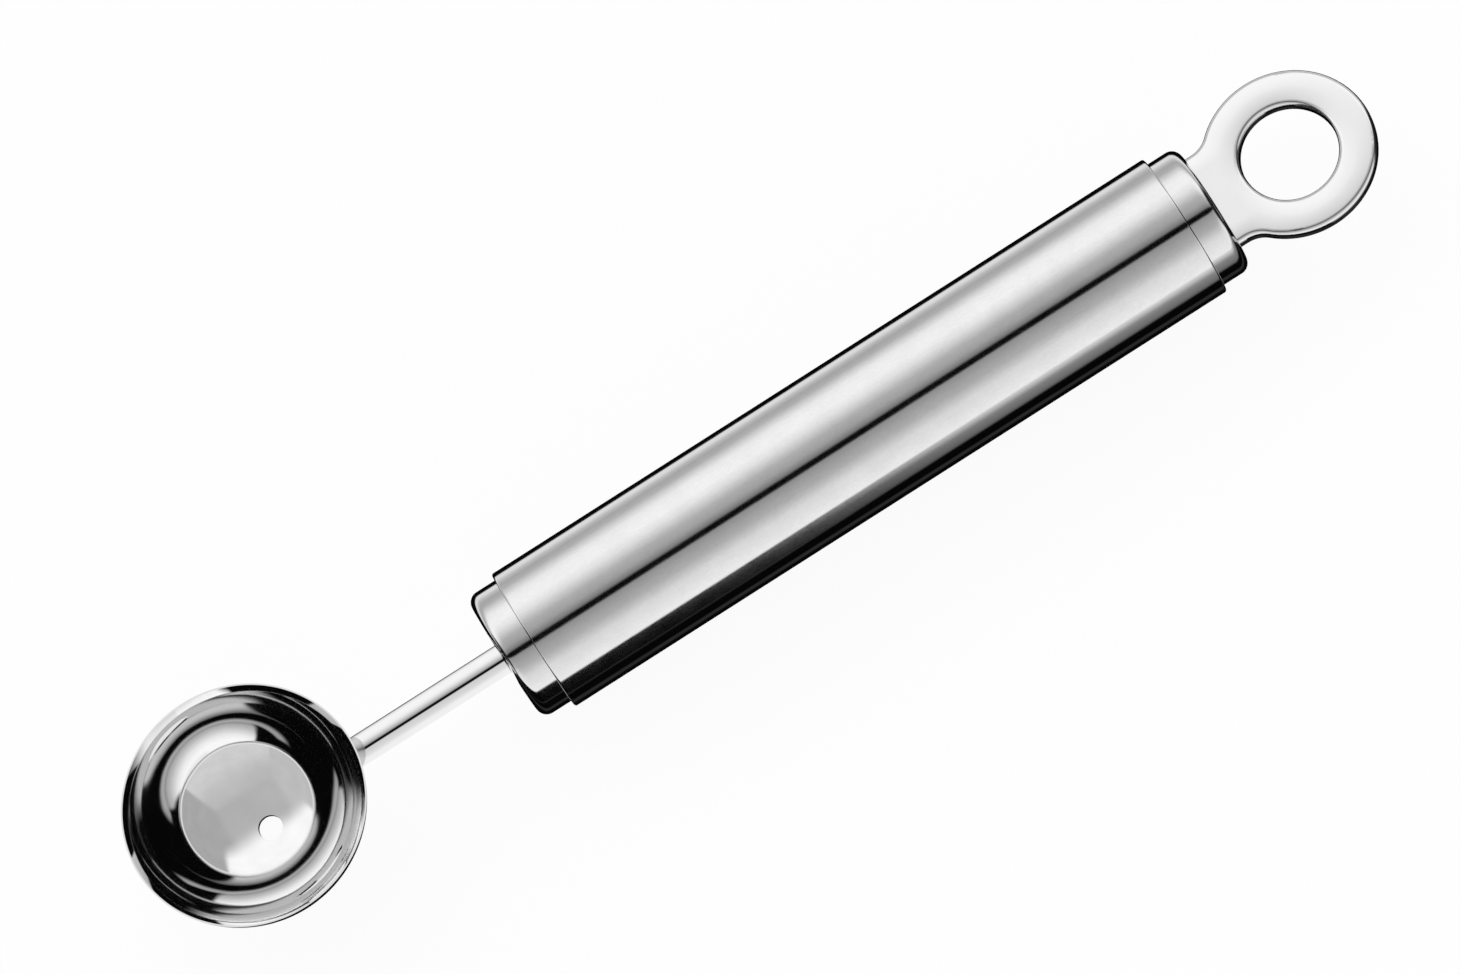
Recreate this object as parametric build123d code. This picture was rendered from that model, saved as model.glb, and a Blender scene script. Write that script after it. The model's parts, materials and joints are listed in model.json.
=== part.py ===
from build123d import *
import math
import os

# A melon baller in stainless steel. All sizes are in millimetres, angles in degrees.
# +X runs along the handle from the bowl to the hanging ring, and +Z is up, out of the bowl.

# Handle sleeve, a plain drawn tube that is open at both ends
sleeve_length = 93.8
sleeve_d = 19.0
sleeve_wall = 0.8
sleeve_edge_r = 0.3

# End caps, drawn cups pressed into the sleeve with their closed ends outwards
cap_reach = 4.2
cap_dome = 0.1
cap_corner_r = 1.45
cap_wall = 0.9
cap_skirt = 9.0
fit_clearance = 0.03

# Neck rod, round bar that runs from the bowl into the front cap
rod_d = 4.0
rod_end_chamfer = 0.4
neck_length = 20.65
rod_inside = 14.0

# Bowl, less than half a ball, with a knife edge ground from the inside
bowl_r = 15.36
bowl_wall = 0.6
bowl_depth = 13.25
edge_land = 0.2
edge_bevel_depth = 0.8
edge_blend_r = 0.3
vent_d = 3.1
vent_shift = 0.7
rod_below_rim = 6.35

# Hanging ring, cut from plate in one piece with its neck and tang.
# It stands a few degrees turned about the handle from the plane of the bowl's rim.
ring_d = 21.7
ring_hole_d = 12.2
ring_reach = 11.1
plate_t = 2.0
plate_edge_r = 0.7
plate_lift = 1.0
ring_neck_w = 13.4
ring_neck_blend_r = 3.5
tang_inside = 5.0
ring_turn = -4.7

# Welds
bowl_weld_r = 1.4
bead_leg = 1.2

# How far a cutting shape runs past what it cuts
overrun = 2.0

# Places along the handle, counted from the front end of the sleeve
rim_rise = bowl_r - bowl_depth
rim_r = math.sqrt(bowl_r**2 - rim_rise**2)
front_cap_x = -cap_reach
bowl_x = front_cap_x - neck_length - rim_r
bowl_tip_x = bowl_x - rim_r
rear_cap_x = sleeve_length + cap_reach
ring_x = rear_cap_x + ring_reach
ring_end_x = ring_x + ring_d / 2
middle_x = (bowl_tip_x + ring_end_x) / 2

# Heights, counted from the axis of the handle
rim_z = rod_below_rim
ball_z = rim_z + rim_rise


def on_surface(solid):
    """Move a piece from the handle's axis to the surface that the sleeve lies on."""
    return Pos(-middle_x, 0, sleeve_d / 2) * solid


def rod_along_x(diameter, start_x, end_x):
    """A round bar on the handle's axis."""
    bar = Cylinder(diameter / 2, end_x - start_x, align=(Align.CENTER, Align.CENTER, Align.MIN))
    return Pos(start_x, 0, 0) * Rot(0, 90, 0) * bar


def turned_about_x(profile):
    """Turn a flat outline, drawn with X along the handle, into a round piece."""
    return revolve(profile, Axis.X)


def make_sleeve():
    tube = rod_along_x(sleeve_d, 0, sleeve_length)
    outer_edges = tube.edges().filter_by(GeomType.CIRCLE)
    tube = fillet(outer_edges, sleeve_edge_r)
    bore_d = sleeve_d - 2 * sleeve_wall
    return tube - rod_along_x(bore_d, -overrun, sleeve_length + overrun)


def cap_plug(radius, end_x, dome, corner_r, skirt_x):
    """A round plug on X whose end is slightly domed, with a rounded shoulder."""
    dome_r = (radius**2 + dome**2) / (2 * dome)
    half_r = radius / 2
    half_x = end_x - dome_r + math.sqrt(dome_r**2 - half_r**2)
    shoulder_x = end_x - dome
    outline = [
        Line((skirt_x, 0), (skirt_x, radius)),
        Line((skirt_x, radius), (shoulder_x, radius)),
        ThreePointArc((shoulder_x, radius), (half_x, half_r), (end_x, 0)),
        Line((end_x, 0), (skirt_x, 0)),
    ]
    profile = make_face(outline)
    shoulder = profile.vertices().sort_by_distance((shoulder_x, radius, 0))[0]
    profile = fillet(shoulder, corner_r)
    return turned_about_x(profile)


def cap_outer():
    """The outer form of a cap. Its closed end looks along +X, past the sleeve's end at 0."""
    cap_r = sleeve_d / 2 - sleeve_wall - fit_clearance
    return cap_plug(cap_r, cap_reach, cap_dome, cap_corner_r, -cap_skirt)


def cap_cavity():
    """The hollow of a cap, which is the outer form set in by the wall."""
    cap_r = sleeve_d / 2 - sleeve_wall - fit_clearance
    inner_r = cap_r - cap_wall
    inner_dome = cap_dome * (inner_r / cap_r) ** 2
    inner_corner_r = cap_corner_r - cap_wall
    return cap_plug(inner_r, cap_reach - cap_wall, inner_dome, inner_corner_r, -cap_skirt - overrun)


def at_front(solid):
    """Face a cap, or what sits in it, towards the bowl."""
    return Rot(0, 0, 180) * solid


def at_rear(solid):
    """Face a cap, or what sits in it, towards the ring, turned as the ring is."""
    return Pos(sleeve_length, 0, 0) * Rot(ring_turn, 0, 0) * solid


def make_front_cap():
    bore_d = rod_d + 2 * fit_clearance
    cup = cap_outer() - cap_cavity() - rod_along_x(bore_d, 0, cap_reach + overrun)
    return at_front(cup)


def make_rod_weld():
    """The bead inside the front cap that holds the rod."""
    rod_r = rod_d / 2
    bead_start_x = cap_reach - cap_wall - bead_leg
    low_end = (Align.CENTER, Align.CENTER, Align.MIN)
    flare = Cone(rod_r, rod_r + bead_leg, bead_leg, align=low_end)
    flare = Pos(bead_start_x, 0, 0) * Rot(0, 90, 0) * flare
    bead = (flare & cap_cavity()) - rod_along_x(rod_d, 0, cap_reach)
    return at_front(bead)


def neck_section(clearance):
    """The cross section of the ring's neck, on X, with its rounded edges."""
    width = ring_neck_w + 2 * clearance
    height = plate_t + 2 * clearance
    section = RectangleRounded(height, width, plate_edge_r + clearance)
    return Pos(0, 0, plate_lift) * Rot(0, 90, 0) * section


def make_rear_cap():
    slot = extrude(neck_section(fit_clearance), cap_reach + overrun, dir=(1, 0, 0))
    return at_rear(cap_outer() - cap_cavity() - slot)


def make_ring_weld():
    """The two beads inside the rear cap, above and below the ring's tang."""
    wall_x = cap_reach - cap_wall
    bead_end_x = wall_x - bead_leg
    bead_length = ring_neck_w - 2 * bead_leg
    beads = []
    for side in (-1, 1):
        face_z = plate_lift + side * plate_t / 2
        corners = [
            (bead_end_x, 0, face_z),
            (wall_x, 0, face_z),
            (wall_x, 0, face_z + side * bead_leg),
        ]
        triangle = make_face(Polyline(corners, close=True))
        bead = extrude(triangle, bead_length / 2, dir=(0, 1, 0), both=True)
        beads.append(at_rear(bead & cap_cavity()))
    return beads[0] + beads[1]


def make_ring():
    """The flat ring with its neck, rounded on every edge, lying in the handle's frame."""
    tang_x = cap_reach - cap_wall - tang_inside
    centre_x = cap_reach + ring_reach
    neck_length_x = centre_x - tang_x
    disc = Pos(centre_x, 0, 0) * Circle(ring_d / 2)
    neck = Pos(tang_x + neck_length_x / 2, 0, 0) * Rectangle(neck_length_x, ring_neck_w)
    outline = disc + neck
    corner_x = centre_x - math.sqrt(ring_d**2 - ring_neck_w**2) / 2
    corners = []
    for side in (-1, 1):
        place = (corner_x, side * ring_neck_w / 2, 0)
        corners.append(outline.vertices().sort_by_distance(place)[0])
    outline = fillet(corners, ring_neck_blend_r)
    outline = outline - Pos(centre_x, 0, 0) * Circle(ring_hole_d / 2)
    plate = extrude(outline, plate_t / 2, both=True)
    flats = plate.faces().sort_by(Axis.Z)
    plate = fillet(flats[0].edges() + flats[-1].edges(), plate_edge_r)
    return at_rear(Pos(0, 0, plate_lift) * plate)


def at_bowl(solid):
    """Move a piece drawn about the middle of the bowl's rim to its place on the handle."""
    return Pos(bowl_x, 0, rim_z) * solid


def make_bowl():
    """The bowl, drawn about the middle of its rim and turned about Z."""
    inner_r = bowl_r - bowl_wall
    half_rise = math.pi / 4
    outer_mid = (bowl_r * math.sin(half_rise), rim_rise - bowl_r * math.cos(half_rise))
    inner_mid = (inner_r * math.sin(half_rise), rim_rise - inner_r * math.cos(half_rise))
    bevel_foot_r = math.sqrt(inner_r**2 - (rim_rise + edge_bevel_depth) ** 2)
    bevel_foot = (bevel_foot_r, -edge_bevel_depth)
    outer_bottom = (0, rim_rise - bowl_r)
    inner_bottom = (0, rim_rise - inner_r)
    outline = [
        ThreePointArc(outer_bottom, outer_mid, (rim_r, 0)),
        Line((rim_r, 0), (rim_r - edge_land, 0)),
        Line((rim_r - edge_land, 0), bevel_foot),
        ThreePointArc(bevel_foot, inner_mid, inner_bottom),
        Line(inner_bottom, outer_bottom),
    ]
    profile = make_face(outline)
    foot = profile.vertices().sort_by_distance((bevel_foot_r, -edge_bevel_depth, 0))[0]
    profile = fillet(foot, edge_blend_r)
    shell = revolve(Rot(90, 0, 0) * profile, Axis.Z)
    vent = Pos(vent_shift, 0, -bowl_depth) * Cylinder(vent_d / 2, bowl_depth)
    return at_bowl(shell - vent)


def bowl_ball():
    """The whole ball that the outside of the bowl is part of."""
    return Pos(bowl_x, 0, ball_z) * Sphere(bowl_r)


def make_neck_rod():
    """The rod. Its bowl end is coped to the ball, and its hidden end is chamfered."""
    end_x = front_cap_x + rod_inside
    bar = rod_along_x(rod_d, bowl_x, end_x)
    end_edges = bar.edges().filter_by(GeomType.CIRCLE).sort_by(Axis.X)[-1]
    bar = chamfer(end_edges, rod_end_chamfer)
    return bar - bowl_ball()


def make_bowl_weld():
    """The fillet of weld round the rod, as a ball rolled round the corner leaves it."""
    ball = bowl_ball()
    bar = rod_along_x(rod_d, bowl_x, front_cap_x)
    joined = ball + bar
    seam_x = bowl_x + math.sqrt(bowl_r**2 - ball_z**2)
    seam = joined.edges().sort_by_distance((seam_x, rod_d / 2, 0))[0]
    blended = fillet(seam, bowl_weld_r)
    return blended - ball - bar


pieces = {
    "bowl": make_bowl,
    "bowl_weld": make_bowl_weld,
    "neck_rod": make_neck_rod,
    "front_cap": make_front_cap,
    "rod_weld": make_rod_weld,
    "handle_sleeve": make_sleeve,
    "rear_cap": make_rear_cap,
    "hanging_ring": make_ring,
    "ring_weld": make_ring_weld,
}

os.makedirs("parts", exist_ok=True)
for name, make in pieces.items():
    export_step(on_surface(make()), "parts/" + name + ".step")
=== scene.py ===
# %% [markdown]
# # A melon baller in polished steel
#
# This lesson dresses a finished model of a melon baller: a pressed bowl on a thin rod, a round
# tube handle with a drawn cap at each end, and a flat ring to hang it by. The solids come from a
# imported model, in metres, with +X along the handle from the bowl to the ring and +Z up.
# Steel has almost no colour of its own, so most of what the eye reads as steel is the studio that
# it reflects. The lesson therefore gives as much care to the light as to the metal.

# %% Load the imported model
import bmesh
import bpy
import json
import math
from mathutils import Matrix, Vector


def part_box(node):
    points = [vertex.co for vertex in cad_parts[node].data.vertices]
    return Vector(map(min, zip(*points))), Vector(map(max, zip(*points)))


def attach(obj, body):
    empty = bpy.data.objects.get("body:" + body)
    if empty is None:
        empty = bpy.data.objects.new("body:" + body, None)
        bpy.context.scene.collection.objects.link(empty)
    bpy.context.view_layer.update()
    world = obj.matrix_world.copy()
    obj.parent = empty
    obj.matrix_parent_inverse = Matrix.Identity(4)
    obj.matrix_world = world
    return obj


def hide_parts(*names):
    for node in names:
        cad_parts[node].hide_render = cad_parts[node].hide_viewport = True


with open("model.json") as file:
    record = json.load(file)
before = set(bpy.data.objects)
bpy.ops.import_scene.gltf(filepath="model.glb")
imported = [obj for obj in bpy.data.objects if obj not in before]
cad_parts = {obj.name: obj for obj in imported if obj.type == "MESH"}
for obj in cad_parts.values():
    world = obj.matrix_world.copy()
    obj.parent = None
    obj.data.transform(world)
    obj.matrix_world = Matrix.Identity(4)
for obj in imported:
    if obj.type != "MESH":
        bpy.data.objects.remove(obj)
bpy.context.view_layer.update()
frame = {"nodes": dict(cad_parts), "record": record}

print("pieces:", ", ".join(sorted(frame["nodes"])))

# %% [markdown]
# ## Sizes
#
# Everything below is placed from the boxes of the solids, so it follows them when they change.
# The few sizes that a box can't give, such as the wall of the bowl, are written here in
# millimetres and turned into metres once.

# %% Sizes of the bowl and the handle
MM = 0.001
bowl_low, bowl_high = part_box("bowl")
sleeve_low, sleeve_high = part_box("handle_sleeve")
axis_z = (sleeve_low.z + sleeve_high.z) / 2
handle_r = (sleeve_high.z - sleeve_low.z) / 2
rim_r = (bowl_high.y - bowl_low.y) / 2
rim_x = (bowl_low.x + bowl_high.x) / 2
rim_z = bowl_high.z
outer_r = 15.36 * MM
bowl_wall = 0.6 * MM
edge_width = 0.2 * MM
bevel_depth = 0.8 * MM
foot_blend_r = 0.3 * MM
vent_r = 1.55 * MM
vent_shift = 0.7 * MM
print(f"handle radius {handle_r / MM:.2f} mm, rim radius {rim_r / MM:.2f} mm,",
      f"rim height {rim_z / MM:.2f} mm")

# %% [markdown]
# ## Camera
#
# A long lens far away keeps the handle's two edges parallel. The camera looks down from well
# above the near side, square to the handle, and is rolled so that the handle climbs to the right.
# A person might turn the camera by hand until it fits. Here its three directions are worked out
# from two angles, which are easier to read and to correct.

# %% Camera directions
camera_elevation = math.radians(70.9)
camera_roll = math.radians(32.507)
camera_distance = 1335 * MM
lens_mm = 271.2
sensor_mm = 36.0

to_camera = Vector((0, -math.cos(camera_elevation), math.sin(camera_elevation)))
along = Vector((1, 0, 0))
towards_far = to_camera.cross(along).normalized()
towards_near = -towards_far
print("from the tool to the camera:", [round(c, 4) for c in to_camera])

# %% Place the camera
aim_along = sleeve_low.x + 30.148 * MM
aim_near = -2.877 * MM
aim = Vector((aim_along, 0, axis_z)) + aim_near * towards_near
camera_right = math.cos(camera_roll) * along + math.sin(camera_roll) * towards_near
camera_up = math.sin(camera_roll) * along - math.cos(camera_roll) * towards_near
turn = Matrix((camera_right, camera_up, to_camera)).transposed()

camera_data = bpy.data.cameras.new("camera")
camera_data.lens = lens_mm
camera_data.sensor_width = sensor_mm
camera = bpy.data.objects.new("camera", camera_data)
camera.matrix_world = Matrix.Translation(aim + camera_distance * to_camera) @ turn.to_4x4()
bpy.context.scene.collection.objects.link(camera)
bpy.context.scene.camera = camera
print("camera at", [round(c, 3) for c in camera.matrix_world.translation])

# %% [markdown]
# ## A small language for nodes
#
# Node trees built in a script are hard to read, because each sum needs several lines. The class
# below wraps one socket and lets Python's own signs add the Math nodes, so that a mask is written
# as `1 - ring * 0.5`. Every other kind of node comes from one method that takes its type, its
# settings and what goes into its sockets. The same class serves surfaces, the world and shapes.

# %% Wires and trees
class Wire:
    """A socket that takes part in sums."""

    def __init__(self, tree, socket):
        self.tree = tree
        self.socket = socket

    def maths(self, operation, *others, clamp=False):
        settings = {"operation": operation, "use_clamp": clamp}
        return self.tree.node("ShaderNodeMath", settings, (self, *others))[0]

    def __add__(self, other):
        return self.maths("ADD", other)

    def __sub__(self, other):
        return self.maths("SUBTRACT", other)

    def __rsub__(self, other):
        return self.tree.node("ShaderNodeMath", {"operation": "SUBTRACT"}, (other, self))[0]

    def __mul__(self, other):
        return self.maths("MULTIPLY", other)

    def __truediv__(self, other):
        return self.maths("DIVIDE", other)

    def __pow__(self, other):
        return self.maths("POWER", other)

    def __abs__(self):
        return self.maths("ABSOLUTE")

    __radd__ = __add__
    __rmul__ = __mul__


class Tree:
    """A node tree that is written from left to right."""

    def __init__(self, node_tree):
        self.node_tree = node_tree

    def node(self, kind, settings=None, inputs=()):
        made = self.node_tree.nodes.new(kind)
        for name, value in (settings or {}).items():
            if name == "stops":
                set_stops(made.color_ramp, value)
            else:
                setattr(made, name, value)
        pairs = inputs.items() if isinstance(inputs, dict) else enumerate(inputs)
        for key, value in pairs:
            if isinstance(value, Wire):
                self.node_tree.links.new(value.socket, made.inputs[key])
            elif value is not None:
                made.inputs[key].default_value = value
        return [Wire(self, socket) for socket in made.outputs if socket.enabled]

    def dot(self, one, other):
        outputs = self.node("ShaderNodeVectorMath", {"operation": "DOT_PRODUCT"}, (one, other))
        return outputs[-1]

    def between(self, value, low, high):
        """0 below low, 1 above high and a soft step in between."""
        settings = {"interpolation_type": "SMOOTHSTEP"}
        inputs = {"Value": value, "From Min": low, "From Max": high}
        return self.node("ShaderNodeMapRange", settings, inputs)[0]

    def below(self, value, low, high):
        """1 below low, 0 above high and a soft step in between."""
        return 1 - self.between(value, low, high)

    def ramp(self, value, stops):
        """A grey for each value, read off a list of stops."""
        return self.node("ShaderNodeValToRGB", {"stops": stops}, (value,))[0]

    def blend(self, share, start, end):
        """A number that goes from start to end as share goes from 0 to 1."""
        inputs = {"Factor": share, "A": start, "B": end}
        return self.node("ShaderNodeMix", {"data_type": "FLOAT"}, inputs)[0]


def set_stops(ramp, stops):
    """Fill a colour ramp with pairs of a place and a grey."""
    while len(ramp.elements) > 1:
        ramp.elements.remove(ramp.elements[-1])
    for number, (place, grey) in enumerate(stops):
        element = ramp.elements[0] if number == 0 else ramp.elements.new(place)
        element.position = place
        element.color = (grey, grey, grey, 1)


def linear(grey):
    """The light that a screen needs to show a grey, which is 0 for black and 1 for white."""
    return grey / 12.92 if grey <= 0.04045 else ((grey + 0.055) / 1.055) ** 2.4


print("a middle grey of 0.5 on screen is", round(linear(0.5), 3), "of full light")

# %% [markdown]
# ## The studio
#
# Tools like this are photographed inside a tent of white cloth with lamps outside it. The far
# side of the tent and the near side each throw one broad light band along the handle. The slot
# that the lens looks through gives the thin black line between them, and the dark room below
# gives the black edges. Lamps and panels could be built one by one. It is shorter, and quite free
# of noise, to paint the tent on the world around the tool as a brightness for each direction.
#
# The angle is counted round the handle from the camera, positive to the far side. Each pair in
# the lists is such an angle in degrees and the grey that a steel tube shows there. The near side
# ends in a sharp dark edge on the front part of the handle and in a soft one on its rear part, so
# it has two lists.

# %% Brightness round the handle
dark = 0.02
far_side = [
    (0, dark), (3.2, dark), (5.8, 0.46), (15, 0.615), (27, 0.68), (37, 0.80), (45, 0.88),
    (57, 0.94), (70, 0.937), (80, 0.91), (90, 0.805), (100, 0.68), (111, 0.64),
    (121, 0.725), (129, 0.83), (136, 0.86), (140, 0.82), (144, dark), (180, dark),
]
near_front = [
    (0, dark), (3.8, dark), (6.2, 0.555), (15, 0.61), (27, 0.67), (37, 0.765), (45, 0.84),
    (62, 0.885), (77, 0.925), (80, dark), (107, dark), (110, 0.16), (112, dark),
    (131, dark), (134, 0.16), (143, 0.15), (147, dark), (180, dark),
]
near_rear = [
    (0, dark), (3.8, dark), (6.2, 0.555), (15, 0.61), (27, 0.67), (37, 0.765), (45, 0.84),
    (62, 0.885), (77, 0.92), (79, 0.82), (83, 0.75), (87, 0.64), (91, 0.525), (96, 0.478),
    (105, 0.42), (110, 0.29), (112, dark), (131, dark), (134, 0.16), (143, 0.15), (147, dark),
    (180, dark),
]
tube_shine = 0.72


def as_stops(pairs):
    """Angles become shares of a half turn, and greys become the light that gives them."""
    return [(angle / 180, linear(grey) / tube_shine) for angle, grey in pairs]


print("stops on the far side:", len(far_side), "and on the near side:", len(near_rear))

# %% Light round the handle
world = bpy.data.worlds.new("light_tent")
world.use_nodes = True
world.node_tree.nodes.clear()
bpy.context.scene.world = world
tent = Tree(world.node_tree)

direction = tent.node("ShaderNodeTexCoord")[0]
towards = tent.dot(direction, to_camera)
far = tent.dot(direction, towards_far)
endways = tent.dot(direction, along)
angle = tent.node("ShaderNodeMath", {"operation": "ARCTAN2"}, (far, towards))[0] / math.pi
size_of_angle = abs(angle)
is_far = angle.maths("GREATER_THAN", 0.0)
far_light = tent.ramp(size_of_angle, as_stops(far_side))
front_light = tent.ramp(size_of_angle, as_stops(near_front))
rear_light = tent.ramp(size_of_angle, as_stops(near_rear))
front_to_rear = (0.0, 0.022)
near_light = tent.blend(tent.between(endways, *front_to_rear), front_light, rear_light)
round_handle = tent.blend(is_far, near_light, far_light)
print("nodes so far:", len(world.node_tree.nodes))

# %% [markdown]
# Straight out of the tent's two ends it is dark, which draws the fine black line round the end
# of each cap. Such a mask needs two numbers, where its soft edge starts and where it ends.

# %% Light at the ends
open_end = (0.88, 0.97)
across = abs(endways)
once = tent.blend(tent.between(across, *open_end), round_handle, dark)
print("the tent's ends go dark between", open_end, "of straight out")

# %% [markdown]
# Light that goes round inside the bowl needs a tent of its own, which the world can show to it,
# because it can ask how often a ray has bounced. After two bounces the cloth of the tent shows
# bright on the far and the near side. The slot round the lens and the tent's open ends stay black,
# and they draw the bowl's black ring and flanks. A slope says how far the cloth reaches: it ends
# where a direction leans too much along the handle for what it leans to the side. A pair of
# slopes is for the bowl's end and for the ring's end.

# %% Light that has bounced twice
black = dark * 0.1
bowl_to_ring = (-0.02, 0.02)
far_slopes = (0.47, 0.86)
near_slopes = (1.6, 0.75)
low_slope = 0.12
ringwards = tent.between(endways, *bowl_to_ring)
far_slope = tent.blend(ringwards, *far_slopes)
near_slope = tent.blend(ringwards, *near_slopes)
low_light = (0.40, 0.50)
low_down = tent.below(towards, *low_light) * (1 - ringwards)
slope = tent.blend(low_down, tent.blend(is_far, near_slope, far_slope), low_slope)
cloth_edge = (-0.01, 0.05)
is_cloth = tent.between(abs(far) - slope * across, *cloth_edge)

# Low down towards the bowl's end the cloth ends further out, and more softly
end_edge = (0.60, 0.72)
low_end_shift = 0.20
low_end_softer = 0.25
end_start = end_edge[0] - low_down * low_end_softer
is_cloth = is_cloth * tent.below(across - low_down * low_end_shift, end_start, end_edge[1])

slot_near_edge = (-0.115, 0.02)
slot_far_edge = (0.03, 0.145)
is_slot = tent.between(angle, *slot_near_edge) * tent.below(angle, *slot_far_edge)
near_cloth_grey = 0.72
near_cloth = linear(near_cloth_grey) / tube_shine
low_dimmer = 0.12
twice = tent.blend(is_far, near_cloth, far_light * (1 - low_down * low_dimmer))
twice = tent.blend(is_slot, twice, black)
twice = tent.blend(is_cloth, black, twice)
print("light from the near cloth:", round(near_cloth, 3))

# %% [markdown]
# The hem of the cloth at the slot catches some light. It draws the pale hair line in the black
# ring.

# %% Hem of the slot
hem_start = (0.045, 0.075)
hem_stop = (0.085, 0.105)
hem_end = (0.50, 0.60)
hem_share = 0.6
is_hem = tent.between(angle, *hem_start) * tent.below(angle, *hem_stop)
is_hem = is_hem * tent.below(across, *hem_end)
twice = tent.blend(is_hem * hem_share, twice, near_cloth)
print("the hem is", round(180 * (hem_stop[1] - hem_start[0]), 1), "degrees wide")

# %% [markdown]
# Three bounces or more draw the bands near the rim. Light that meets the wall at a flat angle
# skims round inside the bowl, up to ten times and more. Blender stops at four bounces off a shiny
# surface, which would leave a black line under the ground edge, so the limit is raised. Real
# steel reflects such flat light almost whole, and the skimming light is brightened to match.

# %% Light that has bounced three times or more
bpy.context.scene.cycles.glossy_bounces = 12
path = tent.node("ShaderNodeLightPath")
outputs = {wire.socket.name: wire for wire in path}
bounces = outputs["Ray Depth"] - 1
past_fourth = (bounces - 4).maths("MAXIMUM", 0.0)
skims = past_fourth.maths("MINIMUM", 1.0)
brighter_each_time = 0.2

# The slot is narrower here on the near side, and skimming light finds cloth on the far side only
narrow_slot = (0.02, 0.08)
narrower_by = 0.1
narrowed = (1 - is_far) * tent.below(across, *narrow_slot) * narrower_by
sideways_slope = tent.blend(is_far, 1.0, far_slope)
past_edge = abs(far) - sideways_slope * across + narrowed
skim_slope = 0.55
soft_edge = (-0.02, 0.14)
is_cloth = tent.between(tent.blend(skims, past_edge, far - skim_slope * across), *soft_edge)
is_cloth = is_cloth * tent.below(across - skims, *end_edge)
often = tent.blend(is_cloth, black, near_cloth * (past_fourth * brighter_each_time + 1))
print("most bounces off steel:", bpy.context.scene.cycles.glossy_bounces)

# %% [markdown]
# The three pictures are joined by the count of bounces. The camera itself sees plain white paper.

# %% Join the light
twice_or_more = bounces.maths("GREATER_THAN", 1.5)
thrice_or_more = bounces.maths("GREATER_THAN", 2.5)
seen_by_steel = tent.blend(twice_or_more, once, tent.blend(thrice_or_more, twice, often))
backdrop_grey = 0.988
seen = tent.blend(outputs["Is Camera Ray"], seen_by_steel, linear(backdrop_grey))
background = tent.node("ShaderNodeBackground", None, {"Color": seen, "Strength": 1.0})[0]
tent.node("ShaderNodeOutputWorld", None, {"Surface": background})
print("world nodes:", len(world.node_tree.nodes))

# %% [markdown]
# The floor is a plain pale sheet. Most of the light that it shows is its own glow, so the tool
# leaves only a breath of shadow. It is hidden from reflections, because in a tent the dark room
# below is what gives round steel its black outline.

# %% Floor and view
def staged_mesh(name, corners, faces, shader_of):
    """A sheet that belongs to the studio and not to the tool."""
    mesh = bpy.data.meshes.new(name)
    mesh.from_pydata(corners, [], faces)
    made = bpy.data.objects.new(name, mesh)
    bpy.context.scene.collection.objects.link(made)
    paper = bpy.data.materials.new(name)
    paper.use_nodes = True
    paper.node_tree.nodes.clear()
    tree = Tree(paper.node_tree)
    tree.node("ShaderNodeOutputMaterial", None, {"Surface": shader_of(tree)})
    mesh.materials.append(paper)
    return made


shadow_share = 0.12
tent_on_paper = 0.45
paper_white = (0.9, 0.9, 0.9, 1)
glow_needed = (linear(backdrop_grey) - shadow_share * tent_on_paper) / (1 - shadow_share)


def pale_paper(tree):
    glow = tree.node("ShaderNodeEmission", None, {"Strength": glow_needed})[0]
    matt = tree.node("ShaderNodeBsdfDiffuse", None, {"Color": paper_white})[0]
    return tree.node("ShaderNodeMixShader", None, {"Fac": shadow_share, 1: glow, 2: matt})[0]


floor_reach = 3.0
floor_z = -0.02 * MM
corner_signs = [(-1, -1), (1, -1), (1, 1), (-1, 1)]
floor_corners = [(floor_reach * x, floor_reach * y, floor_z) for x, y in corner_signs]
floor = staged_mesh("floor", floor_corners, [range(4)], pale_paper)
floor.visible_glossy = False

bpy.context.scene.view_settings.view_transform = "Standard"
bpy.context.scene.view_settings.look = "None"
print("floor", 2 * floor_reach, "m wide, shadow share", shadow_share)

# %% [markdown]
# ## What the bowl sees
#
# The handle sees only a thin slice of the tent, but the bowl sees all of it, and shows it upside
# down in the round picture on its floor: a plain ceiling, a wall beyond each end of the tool, a
# paler wall on the near side, and the lamp side glowing white. That picture is painted on a round
# lid just above the rim. It is like the printed panels that photographers hang over a mirror.
# Only the first reflection sees it. The camera and all later bounces look straight through.
#
# A glowing white disc under the vent hole paints a reflection that keeps the reflections of the hole
# as white as the hole.
#
# On the lid, x and y are counted in millimetres from the middle of the rim, x towards the ring
# and y to the far side. Each part is one grey, laid over the last one with a soft mask. The near
# wall and the lamp widen as they go out, which the slopes below say. Faint clouds keep the greys
# from looking printed.

# %% Light for reflections alone
bowl_shine = 0.88


def first_reflection(tree, light, from_afar=0.0):
    """A glow that the first reflection sees. Later bounces and the back see nothing there."""
    path = {wire.socket.name: wire for wire in tree.node("ShaderNodeLightPath")}
    facing = {wire.socket.name: wire for wire in tree.node("ShaderNodeNewGeometry")}
    unseen = path["Ray Depth"].maths("GREATER_THAN", 1.5).maths("MAXIMUM", facing["Backfacing"])
    unseen = unseen.maths("MAXIMUM", path["Ray Length"].maths("LESS_THAN", from_afar))
    glow = tree.node("ShaderNodeEmission", None, {"Color": light})[0]
    clear = tree.node("ShaderNodeBsdfTransparent")[0]
    return tree.node("ShaderNodeMixShader", None, {"Fac": unseen, 1: glow, 2: clear})[0]


def only_reflected(card):
    """Hide a card from all rays but those that come off a shiny surface."""
    card.visible_camera = False
    card.visible_diffuse = False
    card.visible_shadow = False
    card.visible_transmission = False


print("the bowl sends back", bowl_shine, "of the light")


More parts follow.
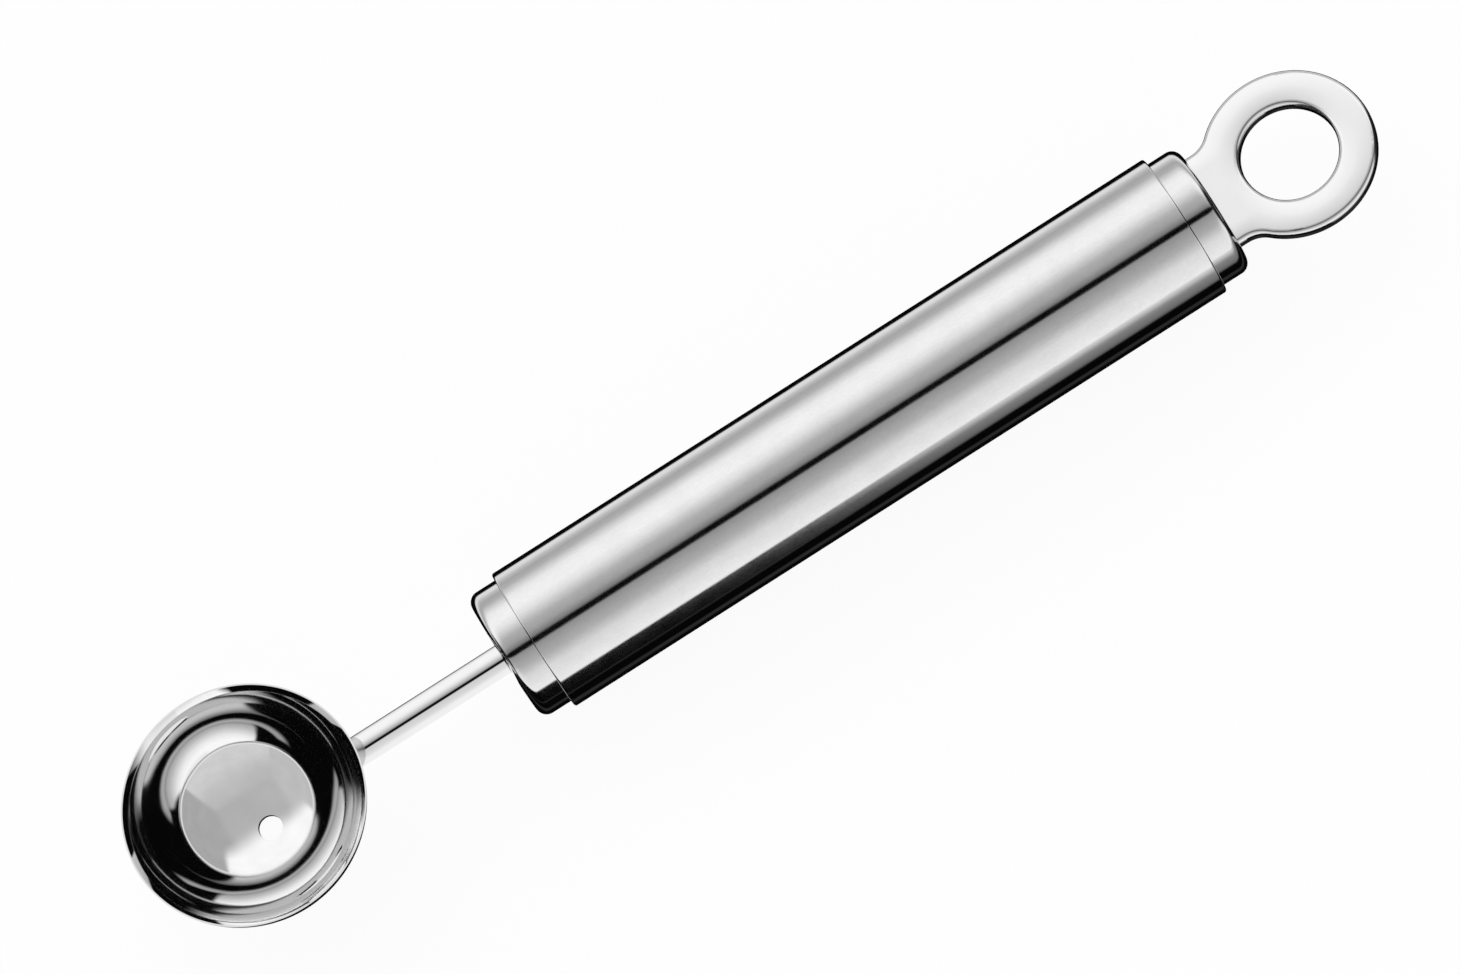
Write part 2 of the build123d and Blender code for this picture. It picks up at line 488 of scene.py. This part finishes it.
# %% The parts of the lid's picture
ceiling_grey = 0.69
ring_end_grey = 0.65
ring_end_edge = (2.2, 3.2)
bowl_end_grey = 0.735
bowl_end_edge = (3.8, 5.4)

near_wall_greys = (0.72, 0.80)
near_wall_reach = (0.0, 6.0)
near_wall_edge = (-0.45, 0.35)
near_wall_ring_edge = (2.3, 3.3)
near_wall_ring_slope = 0.735
near_wall_bowl_edge = (3.8, 5.2)
near_wall_bowl_slope = 1.19

lamp_grey = 0.97
lamp_edge = (2.8, 5.8)
lamp_bow = 0.3
lamp_ring_edge = (0.8, 2.0)
lamp_ring_slope = 0.64
lamp_bowl_edge = (3.0, 4.6)
lamp_bowl_slope = 0.71

rim_band_grey = 0.87
rim_band_edge = (14.75, 15.0)
cloud_scale = 0.3
cloud_share = 0.22
lid_height = 0.5 * MM
lid_r = rim_r + 1.3 * MM
print("the lid reaches", round(lid_r / MM, 1), "mm from the middle of the bowl")


# %% The lid over the bowl
def lid_picture(tree):
    place = tree.node("ShaderNodeNewGeometry")[0]
    middle = (rim_x, 0, rim_z + lid_height)
    offset = tree.node("ShaderNodeVectorMath", {"operation": "SUBTRACT"}, (place, middle))[0]
    in_mm = tree.node("ShaderNodeMapping", None, {"Vector": offset, "Scale": (1 / MM,) * 3})[0]
    x, y, z = tree.node("ShaderNodeSeparateXYZ", None, (in_mm,))

    ring_end = tree.between(x, *ring_end_edge)
    bowl_end = tree.between(0 - x, *bowl_end_edge)
    grey = tree.blend(ring_end, linear(ceiling_grey), linear(ring_end_grey))
    grey = tree.blend(bowl_end, grey, linear(bowl_end_grey))

    nearwards = (0 - y).maths("MAXIMUM", 0.0)
    wall = tree.between(0 - y, *near_wall_edge)
    wall = wall * tree.below(x - near_wall_ring_slope * nearwards, *near_wall_ring_edge)
    wall = wall * tree.below(0 - x - near_wall_bowl_slope * nearwards, *near_wall_bowl_edge)
    inner_grey, outer_grey = near_wall_greys
    outwards = tree.between(0 - y, *near_wall_reach)
    wall_light = tree.blend(outwards, linear(inner_grey), linear(outer_grey))
    grey = tree.blend(wall, grey, wall_light)

    lamp = tree.between(y - lamp_bow * abs(x), *lamp_edge)
    lamp = lamp * tree.below(x - lamp_ring_slope * y, *lamp_ring_edge)
    lamp = lamp * tree.below(0 - x - lamp_bowl_slope * y, *lamp_bowl_edge)
    grey = tree.blend(lamp, grey, linear(lamp_grey))

    clouds = {"Vector": in_mm, "Scale": cloud_scale, "Detail": 2.0}
    cloud = tree.node("ShaderNodeTexNoise", None, clouds)[0]
    grey = grey * (1 + (cloud - 0.5) * cloud_share)
    round_rim = tree.between((x * x + y * y) ** 0.5, *rim_band_edge)
    grey = tree.blend(round_rim, grey, linear(rim_band_grey))
    return first_reflection(tree, grey / bowl_shine)


round_steps = 96
turns = [2 * math.pi * step / round_steps for step in range(round_steps)]


def round_sheet(radius, height):
    """The corners of a round sheet over or under the middle of the bowl."""
    return [(rim_x + radius * math.cos(t), radius * math.sin(t), height) for t in turns]


lid_corners = round_sheet(lid_r, rim_z + lid_height)
lid = staged_mesh("lid_over_bowl", lid_corners[::-1], [range(round_steps)], lid_picture)
only_reflected(lid)
print("lid corners:", len(lid_corners))

# %% [markdown]
# The glowing disc under the vent is a painted reflection, seen through the hole by the first
# reflection only.
# Rays shorter than seen_from don't see it, so steel right beside it, such as the cut edge of the hole,
# stays dark.

# %% The glowing disc under the vent, a painted reflection
scrap_r = 3 * MM
scrap_drop = 0.3 * MM
scrap_white = (linear(0.95),) * 3 + (1,)
seen_from = 6 * MM


def scrap_picture(tree):
    return first_reflection(tree, scrap_white, seen_from)


scrap_corners = round_sheet(scrap_r, bowl_low.z - scrap_drop)
# A glowing disc that only reflections see: a painted reflection of the white hole.
scrap = staged_mesh("reflected_glow_under_vent", scrap_corners, [range(round_steps)], scrap_picture)
only_reflected(scrap)
print("the scrap is", round(2 * scrap_r / MM, 1), "mm across")

# %% [markdown]
# The neck is thin and stands clear of the table, so white paper lights it from below as well as
# from above. Here a glowing tube round the neck, seen only by the first reflection, paints that
# light: its greys are a painted reflection that the rod shows. Its bowl end follows the ball of
# the bowl. The lists hold angles and greys in the same way as the lists of the tent, for a ray
# that has left the rod. The tube is close to the rod, so the ray crosses it at a smaller angle,
# which one line works out.

# %% The glowing tube round the neck, a painted reflection
neck_low, neck_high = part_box("neck_rod")
cap_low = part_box("front_cap")[0]
neck_r = (neck_high.z - neck_low.z) / 2
tube_r = 3.5 * MM
tube_gap = 0.1 * MM
neck_far = [
    (0, dark), (3.5, dark), (11, 0.62), (30, 0.80), (45, 0.90), (60, 0.94), (95, 0.95),
    (115, 0.92), (130, 0.84), (140, 0.70), (148, 0.60), (152, dark), (180, dark),
]
neck_near = [
    (0, dark), (9, dark), (15, 0.80), (30, 0.81), (45, 0.83), (58, 0.86), (75, 0.92), (95, 0.93),
    (120, 0.925), (150, 0.95), (180, 0.90),
]


def on_tube(pairs):
    """Where a ray that leaves the rod at each angle crosses the tube."""
    crossed = []
    for angle, grey in pairs:
        sine = math.sin(math.radians(angle / 2)) * neck_r / tube_r
        crossed.append((angle - math.degrees(math.asin(sine)), grey))
    return crossed


def tube_picture(tree):
    place = tree.node("ShaderNodeNewGeometry")[0]
    offset = tree.node("ShaderNodeVectorMath", {"operation": "SUBTRACT"}, (place, (0, 0, axis_z)))[0]
    up = tree.dot(offset, to_camera)
    out = tree.dot(offset, towards_far)
    round_tube = tree.node("ShaderNodeMath", {"operation": "ARCTAN2"}, (out, up))[0] / math.pi
    near_part = tree.ramp(abs(round_tube), as_stops(on_tube(neck_near)))
    far_part = tree.ramp(abs(round_tube), as_stops(on_tube(neck_far)))
    on_far_side = round_tube.maths("GREATER_THAN", 0.0)
    return first_reflection(tree, tree.blend(on_far_side, near_part, far_part))


tube_y = [tube_r * math.cos(t) for t in turns]
tube_z = [tube_r * math.sin(t) for t in turns]
ball_z = rim_z + math.sqrt(outer_r**2 - rim_r**2) - axis_z
ball_r = outer_r + tube_gap
ball_reach = [math.sqrt(ball_r**2 - y**2 - (ball_z - z) ** 2) for y, z in zip(tube_y, tube_z)]
tube_corners = [(rim_x + x, y, axis_z + z) for x, y, z in zip(ball_reach, tube_y, tube_z)]
tube_corners += [(cap_low.x, y, axis_z + z) for y, z in zip(tube_y, tube_z)]
next_step = [(step + 1) % round_steps for step in range(round_steps)]
tube_faces = [(i, i + round_steps, j + round_steps, j) for i, j in enumerate(next_step)]
# A glowing tube that only reflections see: the painted reflection on the neck rod.
tube = staged_mesh("reflected_glow_round_neck", tube_corners, tube_faces, tube_picture)
only_reflected(tube)
tube_starts = [round(x / MM, 1) for x in (min(ball_reach), max(ball_reach))]
print("the tube starts", tube_starts, "mm from the bowl's middle")

# %% [markdown]
# ## Steel
#
# All the pieces are stainless steel, and only the last polish differs. Each finish starts from
# the same recipe: a metal whose grey and roughness drift a little, as a buffing wheel leaves them,
# and a bump of lines too fine to see one by one. The lines come from noise that is stretched
# along the stroke of the wheel. A finish can add a rule of its own for roughness or for height.

# %% Steel recipe
def steel(name, grey, grey_drift, rough, rough_drift, lines, line_scale, line_height,
          more_rough=None, more_height=None):
    """A polished steel. Lines gives how far the noise is squeezed along X, Y and Z."""
    made = bpy.data.materials.new(name)
    made.use_nodes = True
    made.node_tree.nodes.clear()
    tree = Tree(made.node_tree)
    place = tree.node("ShaderNodeTexCoord")[3]
    in_mm = tree.node("ShaderNodeMapping", None, {"Vector": place, "Scale": (1 / MM,) * 3})[0]
    clouds = {"Vector": in_mm, "Scale": 0.35, "Detail": 4.0}
    cloud = tree.node("ShaderNodeTexNoise", None, clouds)[0]
    squeezed = tree.node("ShaderNodeMapping", None, {"Vector": in_mm, "Scale": lines})[0]
    strokes = {"Vector": squeezed, "Scale": line_scale, "Detail": 3.0}
    stroke = tree.node("ShaderNodeTexNoise", None, strokes)[0]
    brightness = grey + (cloud - 0.5) * grey_drift + (stroke - 0.5) * grey_drift
    roughness = rough + (cloud - 0.5) * rough_drift + (stroke - 0.5) * rough_drift
    if more_rough:
        roughness = roughness + more_rough(tree, in_mm)
    height = stroke * line_height
    if more_height:
        height = height + more_height(tree, in_mm)
    bump = tree.node("ShaderNodeBump", None, {"Strength": 1.0, "Distance": MM, "Height": height})[0]
    inputs = {"Base Color": brightness, "Metallic": 1.0, "Roughness": roughness, "Normal": bump}
    shader = tree.node("ShaderNodeBsdfPrincipled", None, inputs)[0]
    tree.node("ShaderNodeOutputMaterial", None, {"Surface": shader})
    return made


def from_point(tree, in_mm, point):
    """The offset in millimetres from a point given in metres."""
    point_mm = tuple(side / MM for side in point)
    return tree.node("ShaderNodeVectorMath", {"operation": "SUBTRACT"}, (in_mm, point_mm))[0]


# %% [markdown]
# A polishing bob can't reach the deepest part of the bowl well, so that part stays a little
# duller. Pressing leaves the sheet very slightly uneven too, and a mirror finish shows it: the
# edges of the reflections wander by a hair.

# %% Finish of the bowl
dull_edge_mm = (5.0, 8.5)
dull_roughness = 0.05
swell_height_mm = 0.012


def bowl_floor(tree, in_mm):
    """More roughness within reach of the bowl's deepest part."""
    offset = from_point(tree, in_mm, (rim_x, 0, 0))
    x, y, z = tree.node("ShaderNodeSeparateXYZ", None, (offset,))
    return dull_roughness * tree.below((x * x + y * y) ** 0.5, *dull_edge_mm)


def pressed_sheet(tree, in_mm):
    """Broad, low swells in the height of the sheet."""
    swells = {"Vector": in_mm, "Scale": 0.22, "Detail": 1.0}
    return tree.node("ShaderNodeTexNoise", None, swells)[0] * swell_height_mm


bowl_steel = steel(
    "bowl_steel", grey=bowl_shine, grey_drift=0.03, rough=0.03, rough_drift=0.02,
    lines=(1, 1, 1), line_scale=3.0, line_height=0.0,
    more_rough=bowl_floor, more_height=pressed_sheet)
print("finish:", bowl_steel.name)

# %% [markdown]
# The neck rod is bright drawn bar, so its lines run along it. The handle's tube and caps are
# polished along the handle too, and their faint lines are a few to each millimetre. The weld at
# the bowl was ground, and it is duller and darker than what it joins.

# %% Finishes of the neck, the handle and the welds
rod_steel = steel(
    "rod_steel", grey=0.74, grey_drift=0.03, rough=0.03, rough_drift=0.02,
    lines=(0.1, 1, 1), line_scale=3.0, line_height=0.0)
polished_steel = steel(
    "polished_steel", grey=tube_shine, grey_drift=0.09, rough=0.08, rough_drift=0.04,
    lines=(1, 3, 3), line_scale=1.5, line_height=0.0008)
weld_steel = steel(
    "weld_steel", grey=0.50, grey_drift=0.08, rough=0.38, rough_drift=0.08,
    lines=(1, 1, 1), line_scale=4.0, line_height=0.004)
print("finishes:", [m.name for m in (bowl_steel, rod_steel, polished_steel, weld_steel)])

# %% [markdown]
# The ring is cut from plate and tumbled. That rounds its corners and also wears its faces down
# a little towards every edge, so the flat face isn't quite flat. The wear is two tenths of a
# millimetre at most, too little for the shape but plain to see in the shine. The packed
# record says where the middle of the hole is and which way the plate looks.

# %% Finish of the hanging ring
hole = frame["record"]["mounts"][0]
hole_centre = Vector(hole["pos_m"])
plate_up = Vector(hole["axis"]).normalized()
plate_side = plate_up.cross(along)
hole_r_mm = hole["dims"]["r_mm"]
ring_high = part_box("hanging_ring")[1]
ring_r_mm = (ring_high.x - hole_centre.x) / MM
neck_half_mm = 6.7
neck_fade_mm = (-3.0, 3.0)
out_of_the_way_mm = 20.0
corner_blend_mm = 2.0
worn_width_mm = 2.6
worn_depth_mm = 0.2


def worn_faces(tree, in_mm):
    """How far the face has worn down. The neck's sides count on the handle's side of the hole."""
    offset = from_point(tree, in_mm, hole_centre)
    x = tree.dot(offset, along)
    y = tree.dot(offset, plate_side)
    reach = (x * x + y * y) ** 0.5
    past_neck = tree.between(x, *neck_fade_mm)
    from_neck_side = neck_half_mm - abs(y) - out_of_the_way_mm * past_neck
    from_outline = (ring_r_mm - reach).maths("SMOOTH_MAX", from_neck_side, corner_blend_mm)
    height = 0.0
    for distance in (reach - hole_r_mm, from_outline):
        share = 1 - (distance / worn_width_mm).maths("MAXIMUM", 0.0).maths("MINIMUM", 1.0)
        height = share * share * -worn_depth_mm + height
    return height


satin_steel = steel(
    "satin_steel", grey=0.77, grey_drift=0.04, rough=0.13, rough_drift=0.04,
    lines=(1, 8, 1), line_scale=2.0, line_height=0.0008, more_height=worn_faces)
print(f"hole radius {hole_r_mm} mm, ring radius {ring_r_mm:.2f} mm")

# %% Put each finish on its pieces
finish_of = {
    "bowl": bowl_steel, "neck_rod": rod_steel,
    "front_cap": polished_steel, "handle_sleeve": polished_steel, "rear_cap": polished_steel,
    "hanging_ring": satin_steel,
    "bowl_weld": weld_steel, "rod_weld": weld_steel, "ring_weld": weld_steel,
}
for name, finish in finish_of.items():
    for place in frame["nodes"][name].material_slots:
        place.material = finish
print("pieces with a finish:", len(finish_of))

# %% [markdown]
# ## The bowl
#
# The real bowl is pressed from a round blank, and its edge is ground sharp from the inside. Every
# form of it but the vent hole is turned about one axis, so a rule can make it: draw half a cross
# section and sweep it round a circle. A Geometry Nodes group holds that rule, with each size as a
# named input, and the bowl is made from it once and kept as a plain mesh. A mesh drawn point by
# point would do for one bowl, but not for the next size.
#
# The cross section runs from the vent up the inside, over the ground bevel and the narrow edge,
# and down the outside. Each side is an arc with one point more than it has steps, and one point
# more makes the edge. Only the point at the bevel's foot is rounded. The vent sits a little
# nearer to the neck than the middle. Turning the points near it about the middle of the ball
# moves the hole and keeps both faces true balls.

# %% Rule for the bowl
bowl_inputs = {
    "Outer radius": outer_r, "Rim radius": rim_r, "Wall": bowl_wall, "Edge width": edge_width,
    "Bevel depth": bevel_depth, "Blend radius": foot_blend_r, "Vent radius": vent_r,
    "Vent shift": vent_shift, "Arc steps": 90, "Turn steps": 240, "Blend steps": 5,
}
turned_edge = (2.5 * MM, 7 * MM)
sharp_angle = 0.5


def turned_bowl():
    group = bpy.data.node_groups.new("turned_bowl", "GeometryNodeTree")
    for name, value in bowl_inputs.items():
        kind = "NodeSocketInt" if isinstance(value, int) else "NodeSocketFloat"
        group.interface.new_socket(name, in_out="INPUT", socket_type=kind)
    group.interface.new_socket("Finish", in_out="INPUT", socket_type="NodeSocketMaterial")
    group.interface.new_socket("Bowl", in_out="OUTPUT", socket_type="NodeSocketGeometry")
    tree = Tree(group)
    asked = {wire.socket.name: wire for wire in tree.node("NodeGroupInput")}
    outer, rim = asked["Outer radius"], asked["Rim radius"]
    inner = outer - asked["Wall"]
    steps = asked["Arc steps"]

    rise = (outer * outer - rim * rim) ** 0.5
    rim_angle = (rise / outer).maths("ARCCOSINE")
    foot_angle = ((rise + asked["Bevel depth"]) / inner).maths("ARCCOSINE")
    vent_inside = (asked["Vent radius"] / inner).maths("ARCSINE")
    vent_outside = (asked["Vent radius"] / outer).maths("ARCSINE")

    step = tree.node("GeometryNodeInputIndex")[0]
    going_down = (step - steps).maths("GREATER_THAN", 1.5)
    at_edge = (step - steps).maths("GREATER_THAN", 0.5) - going_down
    up_share = (step / steps).maths("MINIMUM", 1.0)
    down_share = ((step - steps - 2) / steps).maths("MAXIMUM", 0.0)
    up_angle = tree.blend(up_share, vent_inside, foot_angle)
    down_angle = tree.blend(down_share, rim_angle, vent_outside)
    polar = tree.blend(going_down, up_angle, down_angle)
    radius = tree.blend(going_down, inner, outer)
    from_axis = tree.blend(at_edge, radius * polar.maths("SINE"), rim - asked["Edge width"])
    height = tree.blend(at_edge, rise - radius * polar.maths("COSINE"), 0.0)

    straight = tree.node("GeometryNodeCurvePrimitiveLine")[0]
    all_points = steps * 2 + 3
    points = tree.node("GeometryNodeResampleCurve", None, {"Curve": straight, "Count": all_points})[0]
    drawn = tree.node("ShaderNodeCombineXYZ", None, (from_axis - rim, 0 - height, 0.0))[0]
    profile = tree.node("GeometryNodeSetPosition", None, {"Geometry": points, "Position": drawn})[0]
    profile = tree.node("GeometryNodeSetSplineCyclic", None, {"Geometry": profile, "Cyclic": True})[0]
    at_foot = 1 - abs(step - steps).maths("MINIMUM", 1.0)
    rounding = {
        "Curve": profile, "Count": at_foot * asked["Blend steps"],
        "Radius": at_foot * asked["Blend radius"],
    }
    profile = tree.node("GeometryNodeFilletCurve", {"mode": "POLY"}, rounding)[0]

    circle_sizes = {"Resolution": asked["Turn steps"], "Radius": rim}
    circle = tree.node("GeometryNodeCurvePrimitiveCircle", None, circle_sizes)[0]
    shell = tree.node("GeometryNodeCurveToMesh", None, {"Curve": circle, "Profile Curve": profile})[0]

    place = tree.node("GeometryNodeInputPosition")[0]
    x, y, z = tree.node("ShaderNodeSeparateXYZ", None, (place,))
    near_vent = tree.below((x * x + y * y) ** 0.5, *turned_edge)
    tilt = (0 - asked["Vent shift"] / outer).maths("ARCSINE") * near_vent
    ball_centre = tree.node("ShaderNodeCombineXYZ", None, (0.0, 0.0, rise))[0]
    turning = {"Vector": place, "Center": ball_centre, "Axis": (0, 1, 0), "Angle": tilt}
    turned = tree.node("ShaderNodeVectorRotate", {"rotation_type": "AXIS_ANGLE"}, turning)[0]
    shell = tree.node("GeometryNodeSetPosition", None, {"Geometry": shell, "Position": turned})[0]
    seat = {"Geometry": shell, "Translation": (rim_x, 0, rim_z)}
    shell = tree.node("GeometryNodeTransform", None, seat)[0]

    shell = tree.node("GeometryNodeSetShadeSmooth", None, {"Geometry": shell, "Shade Smooth": True})[0]
    crease = tree.node("GeometryNodeInputMeshEdgeAngle")[0].maths("GREATER_THAN", sharp_angle)
    sharp = {"Geometry": shell, "Selection": crease, "Shade Smooth": False}
    shell = tree.node("GeometryNodeSetShadeSmooth", {"domain": "EDGE"}, sharp)[0]
    shell = tree.node("GeometryNodeRealizeInstances", None, {"Geometry": shell})[0]
    finished = {"Geometry": shell, "Material": asked["Finish"]}
    shell = tree.node("GeometryNodeSetMaterial", None, finished)[0]
    tree.node("NodeGroupOutput", None, (shell,))
    return group


# %% Make the bowl
def from_rule(name, group, values):
    """Run a rule on an empty mesh and keep what it makes as a plain mesh."""
    holder = bpy.data.objects.new(name + "_rule", bpy.data.meshes.new(name + "_empty"))
    bpy.context.scene.collection.objects.link(holder)
    modifier = holder.modifiers.new("rule", "NODES")
    modifier.node_group = group
    for item in group.interface.items_tree:
        if item.in_out == "INPUT":
            modifier[item.identifier] = values[item.name]
    made = holder.evaluated_get(bpy.context.evaluated_depsgraph_get())
    mesh = bpy.data.meshes.new_from_object(made)
    mesh.name = name
    bpy.data.objects.remove(holder)
    piece = bpy.data.objects.new(name, mesh)
    bpy.context.scene.collection.objects.link(piece)
    return piece


bowl = from_rule("pressed_bowl", turned_bowl(), {**bowl_inputs, "Finish": bowl_steel})
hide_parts("bowl")
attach(bowl, "root")

shape = bmesh.new()
shape.from_mesh(bowl.data)
open_edges = sum(len(edge.link_faces) != 2 for edge in shape.edges)
print(f"bowl volume {shape.calc_volume(signed=True) / MM**3:.1f} cubic mm, open edges {open_edges},",
      "triangles", sum(len(face.verts) - 2 for face in shape.faces))
shape.free()
low = [min(v.co[k] for v in bowl.data.vertices) / MM for k in range(3)]
high = [max(v.co[k] for v in bowl.data.vertices) / MM for k in range(3)]
print("its box against the solid's, in mm:", [round(a - b / MM, 3) for a, b in zip(low, bowl_low)],
      [round(a - b / MM, 3) for a, b in zip(high, bowl_high)])
